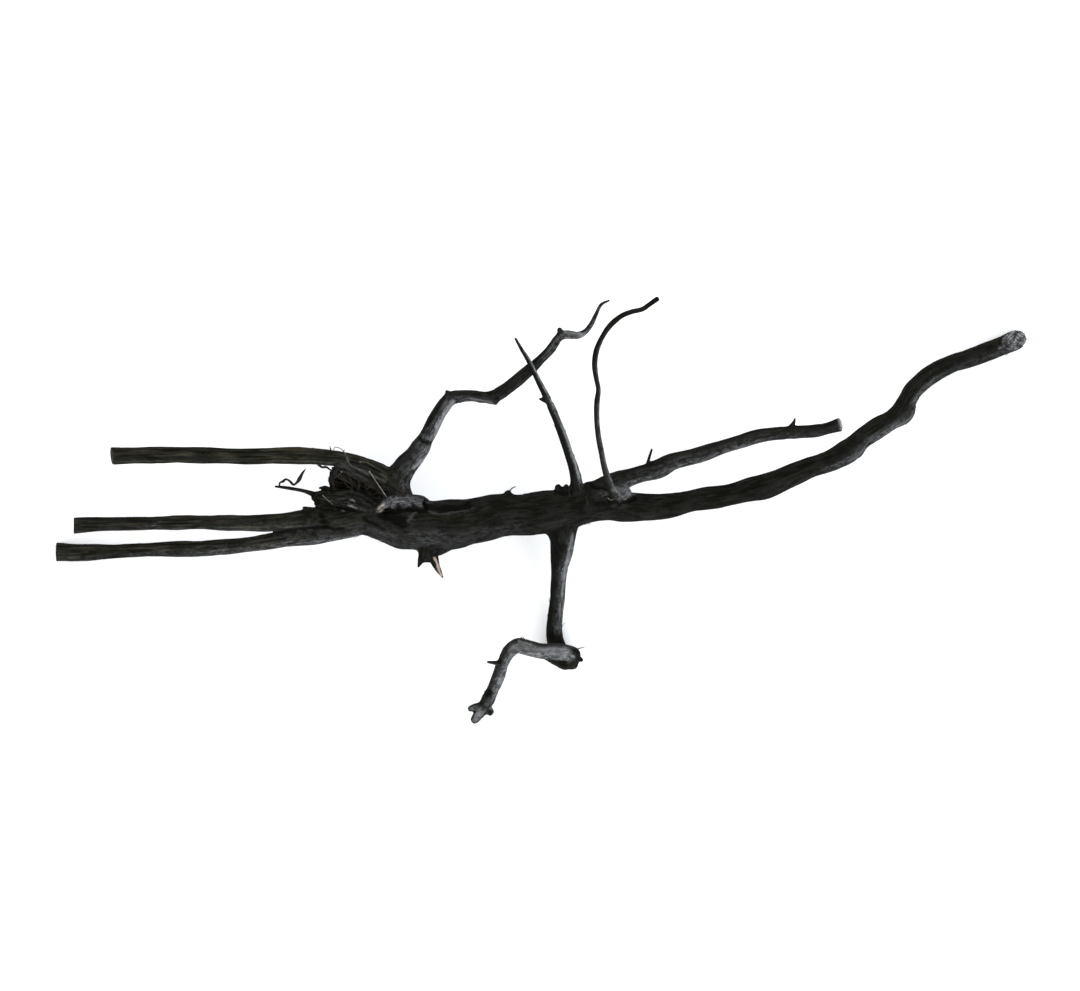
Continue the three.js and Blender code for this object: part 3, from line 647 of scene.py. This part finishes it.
def build_wood():
    skins = []
    for i, name in enumerate(limb_names):
        thickest = max(row[3] for row in LIMBS[name])
        sides = int(np.clip(2 * np.pi * thickest / SIDE_STEP, 12, 96))
        section = limb_section(i, LONG_FLUTES.get(name, FLUTE_LENGTH))
        skins.append(skin(places[name], sides, section, SAW_CUTS.get(name)))
    made = new_object("root_wood", *join_skins(skins))
    remesh = made.modifiers.new("one skin", "REMESH")
    remesh.mode = "VOXEL"
    remesh.voxel_size = VOXEL * MM
    remesh.use_smooth_shade = True
    apply_modifiers(made)
    return made


def fillet(target):
    """Softens the creases where limbs meet, and leaves the rest."""
    points = read(target.data) / MM
    pairs = edge_pairs(target.data)
    off, nearest = nearest_limbs(points)
    two = np.partition(off, 1, axis=1)[:, :2]
    near = np.minimum(on_limbs["radius"][nearest], 12)
    weight = 1 - smooth_step(0.15 * near, 0.75 * near, two[:, 1] - two[:, 0])
    sharp = np.isin(limb_of[nearest], [limb_names.index(name) for name in SHARP])
    weight = np.where(sharp, 0.1 * weight, weight)
    for _ in range(FILLET_PASSES):
        points += 0.6 * weight[:, None] * (neighbour_mean(points, pairs, len(points)) - points)
    write(target.data, points)


def thin_out(target):
    """Brings the mesh under the limit, with the triangles kept where it bends."""
    count = len(target.data.polygons) * 2
    if count > MOST_TRIANGLES:
        fewer = target.modifiers.new("fewer", "DECIMATE")
        fewer.ratio = MOST_TRIANGLES / count
        apply_modifiers(target)


def drop_scraps(target):
    """Deletes the loose specks that the remesh leaves, and keeps the one big piece."""
    pairs = edge_pairs(target.data)
    label = np.arange(len(target.data.vertices))
    while True:
        lowest = label.copy()
        np.minimum.at(lowest, pairs[:, 0], label[pairs[:, 1]])
        np.minimum.at(lowest, pairs[:, 1], label[pairs[:, 0]])
        lowest = lowest[lowest]
        if (lowest == label).all():
            break
        label = lowest
    scraps = np.flatnonzero(label != np.bincount(label).argmax())
    shape = bmesh.new()
    shape.from_mesh(target.data)
    shape.verts.ensure_lookup_table()
    bmesh.ops.delete(shape, geom=[shape.verts[i] for i in scraps], context="VERTS")
    shape.to_mesh(target.data)
    shape.free()


def limb_coordinates(points, nearest):
    """Each point's place on its limb: distance along it, and two distances across it."""
    offset = points - on_limbs["centre"][nearest]
    s, a, b = ((offset * on_limbs[way][nearest]).sum(1) for way in ("along", "across", "up"))
    return on_limbs["gone"][nearest] + s + LIMB_APART * limb_of[nearest], a, b


def stretched(s, a, b, length, width):
    return np.stack([s / length, a / width, b / width], -1)


def stroke_weight(points, normals, line, half_width):
    """1 on a line drawn over the upper side, falling to 0 a little beyond its half width."""
    line = np.array(line, float)
    low, high = line.min(0) - 2 * half_width, line.max(0) + 2 * half_width
    flat = points[:, :2]
    inside = np.flatnonzero(((flat > low) & (flat < high)).all(1) & (normals[:, 2] > 0.05))
    weight = np.zeros(len(points))
    if len(inside) == 0:
        return weight
    p = flat[inside]
    # the line wanders a little, as a crack does
    wander = np.stack([noise(points[inside] / 3.1, seed) for seed in (5, 6)], -1)
    p = p + 0.5 * min(half_width, 1.2) * wander
    gap = np.linalg.norm(p - line[0], axis=1)
    for start, end in zip(line, line[1:]):
        span = end - start
        t = np.clip((p - start) @ span / (span @ span), 0, 1)
        gap = np.minimum(gap, np.linalg.norm(p - start - t[:, None] * span, axis=1))
    rough = 1 + 0.35 * noise(points[inside] / 2.3, 9)
    fade = smooth_step(0.0, 0.3, normals[inside, 2])
    weight[inside] = (1 - smooth_step(0.45, 1.5, gap / (half_width * rough))) * fade
    return weight


def saw_faces(points, normals):
    """1 on a sawn face, 0 elsewhere."""
    cut = np.zeros(len(points))
    for name, direction in SAW_CUTS.items():
        normal = unit(np.array(direction, float))
        end = places[name]["centre"][-1]
        off = (points - end) @ normal
        flat = np.linalg.norm(points - end - off[:, None] * normal, axis=1)
        near = (np.abs(off) < 1.2) & (flat < 2.2 * places[name]["radius"][-1])
        cut = np.maximum(cut, near * smooth_step(0.75, 0.93, normals @ normal))
    return cut


def dust_and_sheen_on(points, normals, nearest, share, pairs):
    """How dusty grey each point is, from its limb and its place along it, with a painted highlight on
    the side that faces the light and painted shade on the side turned from it.
    """
    along = on_limbs["gone"][nearest]
    lengths = np.array([places[name]["gone"][-1] for name in limb_names])
    t = along / lengths[limb_of[nearest]]
    # which way is out to the side of the limb, on the side that faces the light
    sideways = np.cross(on_limbs["along"][nearest], (0, 0, 1))
    sideways *= np.sign(sideways @ np.array(LIT_SIDE))[:, None]
    towards_light = (normals * unit(sideways)).sum(1)
    facing_light, turned_from_light = smooth_step(0.12, 0.62, towards_light), smooth_step(-0.1, -0.6, towards_light)
    dust_and_sheen = np.zeros(len(points))
    for i, name in enumerate(limb_names):
        mine = limb_of[nearest] == i
        base, side = (np.interp(t[mine], *zip(*stops)) for stops in DUST_AND_SHEEN.get(name, PLAIN_DUST_AND_SHEEN))
        # dust, less of it on the side turned from the light as painted shade, plus the painted highlight
        # on the side that faces it
        dust_and_sheen[mine] = base * (1 - 0.85 * turned_from_light[mine]) + side * facing_light[mine]
    # blended only where limbs meet
    meeting = np.clip(2.5 * (1 - share.max(1)), 0, 0.8)
    for _ in range(10):
        dust_and_sheen += meeting * (neighbour_mean(dust_and_sheen, pairs, len(points)) - dust_and_sheen)
    return dust_and_sheen


def carve_bark(target):
    """Raises and cuts the bark along each limb, and returns what the shader needs to know."""
    mesh = target.data
    points = read(mesh) / MM
    normals = read(mesh, "normal")
    pairs = edge_pairs(mesh)
    off, nearest = nearest_limbs(points)
    share = np.exp(-(off - off.min(1, keepdims=True)) / MEETING_WIDTH)
    share /= share.sum(1, keepdims=True)
    looks = share @ np.array([BARK.get(name, PLAIN_BARK) for name in limb_names])
    furrow, ridge, lump, brown, torn = looks.T
    s, a, b = limb_coordinates(points, nearest)
    thin = np.clip(on_limbs["radius"][nearest] / 5, 0.2, 1)

    cut = saw_faces(points, normals)
    dust_and_sheen = dust_and_sheen_on(points, normals, nearest, share, pairs)
    grain = layered(stretched(s, a, b, 18, 1.3), 3, 3)
    groove = np.abs(layered(stretched(s, a, b, 40, 2.4), 11, 2))
    groove = 1 - smooth_step(0.02, 0.2, groove)
    patch = smooth_step(-0.35, 0.35, layered(points / 16, 5, 2))
    lumps = layered(stretched(s, a, b, 14, 7), 21, 2)
    cracked = 0.35 + 0.65 * patch
    height = ridge * grain + lump * lumps * thin - furrow * groove * cracked
    height += torn * 0.6 * layered(stretched(s, a, b, 9, 2.0), 41, 3)
    height *= (1 - cut) * np.clip(on_limbs["radius"][nearest] / 3, 0.3, 1)

    tone_and_painted_light = np.zeros(len(points))
    for line, half_width, rise, pale in STROKES:
        weight = stroke_weight(points, normals, line, half_width)
        height += rise * weight
        tone_and_painted_light = tone_and_painted_light * (1 - weight) + pale * weight
    fresh = np.zeros(len(points))
    for line, half_width in FRESH_WOOD:
        fresh = np.maximum(fresh, stroke_weight(points, normals, line, half_width))
    points += height[:, None] * normals
    points[:, 2] = np.maximum(points[:, 2], LOWEST)
    write(mesh, points)

    # hollows are painted dark as shade, and edges are worn
    normals = read(mesh, "normal")
    hollow = ((neighbour_mean(points, pairs, len(points)) - points) * normals).sum(1)
    for _ in range(3):
        hollow = 0.4 * hollow + 0.6 * neighbour_mean(hollow, pairs, len(points))
    hollow = np.clip(hollow * thin / DEEP_HOLLOW, -1, 1)
    stained_ends = [limb_names.index(name) for name in LONG_FLUTES]
    return {
        "grain": np.stack([s, a, b], -1),
        "brown": brown,
        "dust_and_sheen": dust_and_sheen,
        "torn": torn,
        "cut": cut * np.where(np.isin(limb_of[nearest], stained_ends), STAINED_CUT, 1),
        "hollow": hollow,
        "furrow": groove * cracked,
        "tone_and_painted_light": tone_and_painted_light,
        "fresh": fresh,
    }


wood = build_wood()
fillet(wood)
thin_out(wood)
drop_scraps(wood)
for name, values in carve_bark(wood).items():
    store(wood.data, name, values)
smooth(wood.data)


# ---------------------------------------------------------------- fibres and hair roots


class Fibres:
    """Thin strands, gathered into one piece. Each has a colour from dark (0) to pale (1)."""

    def __init__(self, target):
        self.skins, self.pale = [], []
        self.tree = BVHTree.FromObject(target, bpy.context.evaluated_depsgraph_get())

    def strand(self, rows, pale, sides=6):
        made = skin(framed(rows, 0.8), sides, lambda angle, gone: 1 + 0.12 * np.cos(2 * angle + gone))
        self.skins.append(made)
        self.pale.append(np.full(len(made[0]), pale))

    def top(self, x, y):
        """The height of the wood's upper side at x, y, in millimetres, or nothing."""
        hit = self.tree.ray_cast(Vector((x * MM, y * MM, 0.3)), Vector((0, 0, -1)))[0]
        return None if hit is None else hit.z / MM

    def lay(self, line, thick, thin, pale):
        """A strand that follows the wood's upper side, each point lifted by its third number."""
        heights = [self.top(x, y) for x, y, _ in line]
        known = [height for height in heights if height is not None]
        rows = []
        for i, ((x, y, lift), height) in enumerate(zip(line, heights)):
            z = (known[0] if height is None else height) + lift
            rows.append((x, y, z, thick + (thin - thick) * i / (len(line) - 1)))
        self.strand(rows, pale)

    def finish(self, name):
        made = new_object(name, *join_skins(self.skins))
        store(made.data, "pale", np.concatenate(self.pale))
        smooth(made.data)
        return made


def add_hairs(fibres, target, count, seed):
    """Short hairs that lie along the bark and lift off it at the tip."""
    rng = np.random.default_rng(seed)
    mesh = target.data
    points, normals = read(mesh) / MM, read(mesh, "normal")
    spots = rng.integers(0, len(points), count)
    _, nearest = nearest_limbs(points[spots])
    for spot, place in zip(spots, nearest):
        if on_limbs["radius"][place] < 2.5:
            continue
        start, normal = points[spot], normals[spot]
        along = on_limbs["along"][place] * rng.choice([-1, 1])
        sideways = np.cross(normal, along) * rng.uniform(-0.7, 0.7)
        length, radius = rng.uniform(*HAIR_LENGTH), rng.uniform(*HAIR_RADIUS)
        direction = unit(along + sideways)
        rows = []
        for t, lift in ((0, -0.2), (0.35, 0.25), (0.7, 0.5), (1, rng.uniform(0.5, 1.5))):
            bend = np.cross(direction, normal) * 0.12 * length * t * t * rng.uniform(-1, 1)
            spot_on = start + direction * length * t + normal * lift + bend
            rows.append((*spot_on, radius * (1 - 0.5 * t)))
        if min(row[2] for row in rows) > 0.6:
            fibres.strand(rows, rng.uniform(0.0, 0.55), 5)


def add_torn_fibres(fibres, count, seed):
    """Broken fibres that run across the torn hollow at odd angles."""
    rng = np.random.default_rng(seed)
    for _ in range(count):
        t = rng.uniform()
        x = HOLLOW_START[0] + HOLLOW_RUN[0] * t
        y = HOLLOW_START[1] + HOLLOW_RUN[1] * t + rng.uniform(-6, 5)
        angle = np.radians(rng.normal(-32, 26))
        length = rng.uniform(4, 13)
        dx, dy = np.cos(angle) * length / 2, np.sin(angle) * length / 2
        line = [(x - dx, y - dy, -0.2), (x, y + rng.uniform(-0.8, 0.8), rng.uniform(0.2, 1.6)),
                (x + dx, y + dy, rng.uniform(0, 1.6))]
        if any(fibres.top(px, py) is None for px, py, _ in line):
            continue
        fibres.lay(line, rng.uniform(0.25, 0.55), 0.15, rng.uniform(0, 0.45))


fibres = Fibres(wood)
for line, thick, thin, pale in LYING_FIBRES:
    fibres.lay(line, thick, thin, pale)
for rows, pale in FREE_FIBRES:
    fibres.strand(rows, pale)
add_torn_fibres(fibres, TORN_FIBRE_COUNT, 11)
add_hairs(fibres, wood, HAIR_COUNT, 23)
strands = fibres.finish("root_fibres")

for piece in (wood, strands):
    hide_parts("dry_root")
    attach(piece, "root")


# ---------------------------------------------------------------- materials


class Nodes:
    """A short way to write a material's nodes."""

    def __init__(self, name):
        self.material = bpy.data.materials.new(name)
        self.material.use_nodes = True
        self.tree = self.material.node_tree
        self.tree.nodes.clear()

    def add(self, kind, inputs=(), **settings):
        made = self.tree.nodes.new("ShaderNode" + kind)
        for name, value in settings.items():
            setattr(made, name, value)
        for socket, value in dict(inputs).items():
            self.set(made, socket, value)
        return made

    def set(self, made, socket, value):
        if isinstance(value, bpy.types.NodeSocket):
            self.tree.links.new(value, made.inputs[socket])
        else:
            made.inputs[socket].default_value = value

    def attribute(self, name, output="Fac"):
        return self.add("Attribute", attribute_name=name).outputs[output]

    def noise(self, vector, scale, detail=3.0, roughness=0.55):
        inputs = {"Vector": vector, "Scale": scale, "Detail": detail, "Roughness": roughness}
        return self.add("TexNoise", inputs).outputs["Fac"]

    def scaled(self, vector, scale):
        return self.add("Mapping", {"Vector": vector, "Scale": scale}).outputs["Vector"]

    def ramp(self, value, low, high, to_low=0.0, to_high=1.0):
        inputs = {"Value": value, "From Min": low, "From Max": high}
        inputs.update({"To Min": to_low, "To Max": to_high})
        return self.add("MapRange", inputs).outputs["Result"]

    def maths(self, operation, a, b=0.0):
        return self.add("Math", {0: a, 1: b}, operation=operation).outputs[0]

    def times(self, a, b):
        return self.maths("MULTIPLY", a, b)

    def mix(self, amount, a, b):
        made = self.add("Mix", {"Factor": amount}, data_type="RGBA")
        for socket, value in ((6, a), (7, b)):
            self.set(made, socket, value if isinstance(value, bpy.types.NodeSocket) else (*value, 1))
        return made.outputs[2]

    def layers(self, colour, *coats):
        """Colours laid over each other in turn, each with its share."""
        for share, shade in coats:
            colour = self.mix(share, colour, shade)
        return colour

    def bump(self, height, distance, strength, normal=None):
        inputs = {"Height": height, "Distance": distance, "Strength": strength}
        if normal is not None:
            inputs["Normal"] = normal
        return self.add("Bump", inputs).outputs["Normal"]

    def surface(self, colour, roughness, normal, specular):
        inputs = {"Base Color": colour, "Roughness": roughness, "Specular IOR Level": specular}
        if normal is not None:
            inputs["Normal"] = normal
        shader = self.add("BsdfPrincipled", inputs)
        output = self.add("OutputMaterial")
        self.tree.links.new(shader.outputs[0], output.inputs["Surface"])
        return self.material


DEEP_BLACK = (0.0028, 0.0028, 0.0022)


def wood_material():
    n = Nodes("root_wood")
    grain = n.attribute("grain", "Vector")
    place = n.add("TexCoord").outputs["Object"]
    fibre = n.noise(n.scaled(grain, (0.040, 1.0, 1.0)), 1.0, 5.0, 0.6)
    fine_fibre = n.noise(n.scaled(grain, (0.11, 3.2, 3.2)), 1.0, 4.0, 0.6)
    streak = n.noise(n.scaled(grain, (0.014, 0.4, 0.4)), 1.0, 3.0, 0.5)
    patch = n.noise(place, 60.0, 5.0, 0.62)
    flecks = n.noise(n.scaled(grain, (0.24, 0.85, 0.85)), 1.0, 4.0, 0.65)
    speckle = n.noise(place, 700.0, 3.0, 0.65)
    blotch = n.noise(place, 230.0, 3.0, 0.6)
    hollow = n.attribute("hollow")
    worn = n.ramp(hollow, -0.15, -0.9)
    hollow_shade = n.ramp(hollow, 0.1, 0.8)
    tone_and_painted_light = n.attribute("tone_and_painted_light")

    # black bark, browner and more fibrous on the sawn roots
    bark = n.mix(n.ramp(fibre, 0.40, 0.62), (0.0021, 0.0022, 0.0012), (0.0066, 0.0069, 0.0045))
    bark = n.mix(n.times(n.ramp(fine_fibre, 0.56, 0.70), 0.3), bark, (0.018, 0.019, 0.016))
    brown = n.layers(
        n.mix(n.ramp(fibre, 0.45, 0.56), (0.0036, 0.0034, 0.0018), (0.033, 0.0295, 0.0185)),
        (n.times(n.ramp(fine_fibre, 0.54, 0.64), 0.6), (0.062, 0.056, 0.04)),
        (n.times(n.ramp(streak, 0.54, 0.44), 0.6), (0.0042, 0.0041, 0.0024)),
    )
    brown_share = n.times(n.attribute("brown"), n.ramp(streak, 0.38, 0.54, 0.25, 1.0))
    colour = n.mix(brown_share, bark, brown)
    dark_patch = n.times(n.attribute("brown"), n.ramp(patch, 0.50, 0.36))
    colour = n.mix(n.times(dark_patch, 0.7), colour, (0.0040, 0.0040, 0.0026))

    # pale grey dust and bleached fibres, and the painted highlight on the side that faces the light
    dust_and_sheen_share = n.times(n.attribute("dust_and_sheen"), n.ramp(patch, 0.34, 0.60, 0.45, 1.25))
    dust_and_sheen_share = n.times(dust_and_sheen_share, n.ramp(blotch, 0.38, 0.50, 0.4, 1.15))
    dust_and_sheen = n.mix(n.ramp(flecks, 0.42, 0.57), (0.058, 0.059, 0.061), (0.255, 0.259, 0.267))
    dust_and_sheen = n.mix(n.ramp(speckle, 0.40, 0.60), n.mix(0.55, dust_and_sheen, (0.05, 0.05, 0.052)), dust_and_sheen)
    colour = n.layers(
        colour,
        (dust_and_sheen_share, dust_and_sheen),
        (n.times(worn, 0.12), (0.05, 0.051, 0.05)),
        (n.times(n.ramp(speckle, 0.62, 0.7), 0.2), (0.08, 0.08, 0.078)),
        # painted shade: hollows darkened towards black
        (n.times(hollow_shade, 0.7), DEEP_BLACK),
        (n.times(n.attribute("furrow"), 0.6), (0.0038, 0.0036, 0.0026)),
        (n.times(n.attribute("torn"), n.ramp(fibre, 0.52, 0.42)), (0.003, 0.0028, 0.002)),
    )

    # strokes: dark hollows and pale edges, some of them painted shade and painted highlights
    colour = n.mix(n.times(n.ramp(tone_and_painted_light, 0.0, -1.0), 0.92), colour, DEEP_BLACK)
    pale_and_highlight_share = n.times(n.ramp(tone_and_painted_light, 0.0, 1.0), n.ramp(fine_fibre, 0.36, 0.56, 0.45, 1.2))
    colour = n.mix(pale_and_highlight_share, colour, (0.21, 0.212, 0.215))
    fresh = n.mix(n.ramp(fine_fibre, 0.40, 0.58), (0.21, 0.155, 0.122), (0.52, 0.43, 0.36))
    colour = n.mix(n.attribute("fresh"), colour, fresh)

    # sawn ends: rings round the pith
    across = n.scaled(grain, (0.0, 1.0, 1.0))
    reach = n.add("VectorMath", {0: across}, operation="LENGTH").outputs["Value"]
    wobble = n.times(n.noise(across, 0.5, 3.0, 0.6), 1.6)
    ring = n.maths("SINE", n.times(n.maths("ADD", reach, wobble), 4.2))
    end = n.mix(n.ramp(ring, -1.0, 1.0), (0.075, 0.078, 0.081), (0.215, 0.220, 0.228))
    end = n.mix(n.ramp(n.noise(across, 0.35, 4.0, 0.65), 0.42, 0.56), (0.030, 0.029, 0.026), end)
    end = n.mix(n.times(n.ramp(tone_and_painted_light, 0.0, -1.0), 0.85), end, (0.010, 0.010, 0.009))
    end = n.mix(n.ramp(tone_and_painted_light, 0.4, 1.0), end, (0.42, 0.425, 0.42))
    colour = n.mix(n.attribute("cut"), colour, end)
    colour = n.mix(0.1, colour, (0.0, 0.0, 0.0))

    roughness = n.ramp(fibre, 0.3, 0.7, 0.9, 0.7)
    height = n.maths("ADD", fibre, n.times(fine_fibre, 0.45))
    normal = n.bump(height, 0.0008, 0.6)
    normal = n.bump(speckle, 0.00015, 0.4, normal)
    return n.surface(colour, roughness, normal, 0.028)


def fibre_material():
    n = Nodes("root_fibre")
    place = n.add("TexCoord").outputs["Object"]
    pale = n.attribute("pale")
    colour = n.mix(n.ramp(pale, 0.0, 0.5), (0.0055, 0.0052, 0.0038), (0.055, 0.049, 0.038))
    colour = n.mix(n.ramp(pale, 0.5, 1.0), colour, (0.27, 0.26, 0.235))
    dark = n.mix(0.6, colour, (0.006, 0.0055, 0.004))
    colour = n.mix(n.ramp(n.noise(place, 400.0), 0.4, 0.65), dark, colour)
    return n.surface(colour, 0.85, None, 0.06)


for piece, material in ((wood, wood_material()), (strands, fibre_material())):
    piece.data.materials.clear()
    piece.data.materials.append(material)


# ---------------------------------------------------------------- floor, light and camera


scene = bpy.context.scene
LIGHTS_AIM = (0, 0, 0.03)


def area_light(name, place, size, watts, colour):
    light = bpy.data.lights.new(name, "AREA")
    light.shape = "DISK"
    light.size = size
    light.energy = watts
    light.color = colour
    lamp = bpy.data.objects.new(name, light)
    lamp.location = place
    lamp.rotation_euler = (Vector(LIGHTS_AIM) - Vector(place)).to_track_quat("-Z", "Y").to_euler()
    scene.collection.objects.link(lamp)


FLOOR_HALF = 6.0  # metres
corners = np.array([[-1, -1, 0], [1, -1, 0], [1, 1, 0], [-1, 1, 0]], float)
floor = new_object("floor", corners * FLOOR_HALF / MM, [[0, 1, 2, 3]])
floor.data.materials.append(Nodes("pale_floor").surface((0.97, 0.97, 0.97, 1.0), 0.9, None, 0.1))

scene.world = bpy.data.worlds.new("studio")
scene.world.use_nodes = True
background = scene.world.node_tree.nodes["Background"].inputs
background["Color"].default_value = (0.97, 0.985, 1.0, 1)
background["Strength"].default_value = 1.5

area_light("front_softbox", (1.5, -1.9, 1.2), 1.3, 36, (0.86, 0.93, 1.0))
area_light("back_softbox", (-1.6, 0.9, 1.6), 1.2, 6, (1.0, 0.98, 0.95))

scene.view_settings.view_transform = "Standard"

# The camera looks straight down through a long lens: the view is 720 mm wide where most of the
# wood is.
VIEW_WIDTH = 0.72
WOOD_HEIGHT = 0.045
CAMERA_HEIGHT = 3.5
SENSOR = 36.0
camera = bpy.data.objects.new("camera", bpy.data.cameras.new("camera"))
camera.location = (0.0, 0.011, CAMERA_HEIGHT)
camera.data.sensor_fit = "HORIZONTAL"
camera.data.sensor_width = SENSOR
camera.data.lens = SENSOR * (CAMERA_HEIGHT - WOOD_HEIGHT) / VIEW_WIDTH
camera.data.clip_end = 20
scene.collection.objects.link(camera)
scene.camera = camera
